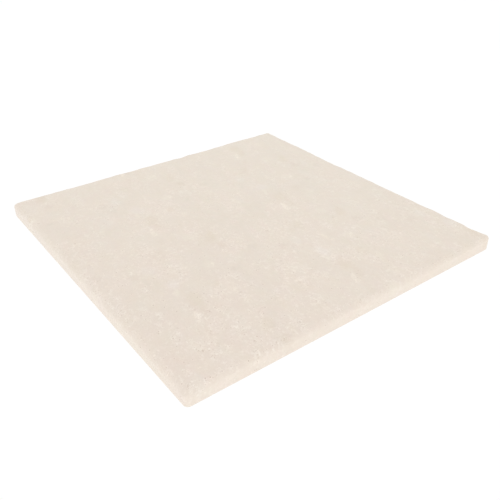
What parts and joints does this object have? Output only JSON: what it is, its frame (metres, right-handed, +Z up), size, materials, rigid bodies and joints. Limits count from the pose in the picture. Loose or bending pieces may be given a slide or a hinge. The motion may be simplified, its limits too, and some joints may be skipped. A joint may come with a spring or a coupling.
{
  "type": "stone tooling slab",
  "caption": "Flat square slab of honed cream stone with eased corners and rounded edges, a hard bench surface for tooling, stamping and skiving leather",
  "frame": {"origin": "centre of the underside, which is the face the slab rests on", "axes": "+Z is up, out of the working face; X and Y run along the equal sides of the square"},
  "size_m": [0.3048, 0.3048, 0.0127],
  "materials": {
    "stone": "honed cream stone, fine grained, satin, with faint clouding and small pale flecks"
  },
  "bodies": {
    "root": {"stone_slab": "stone"}
  },
  "joints": []
}
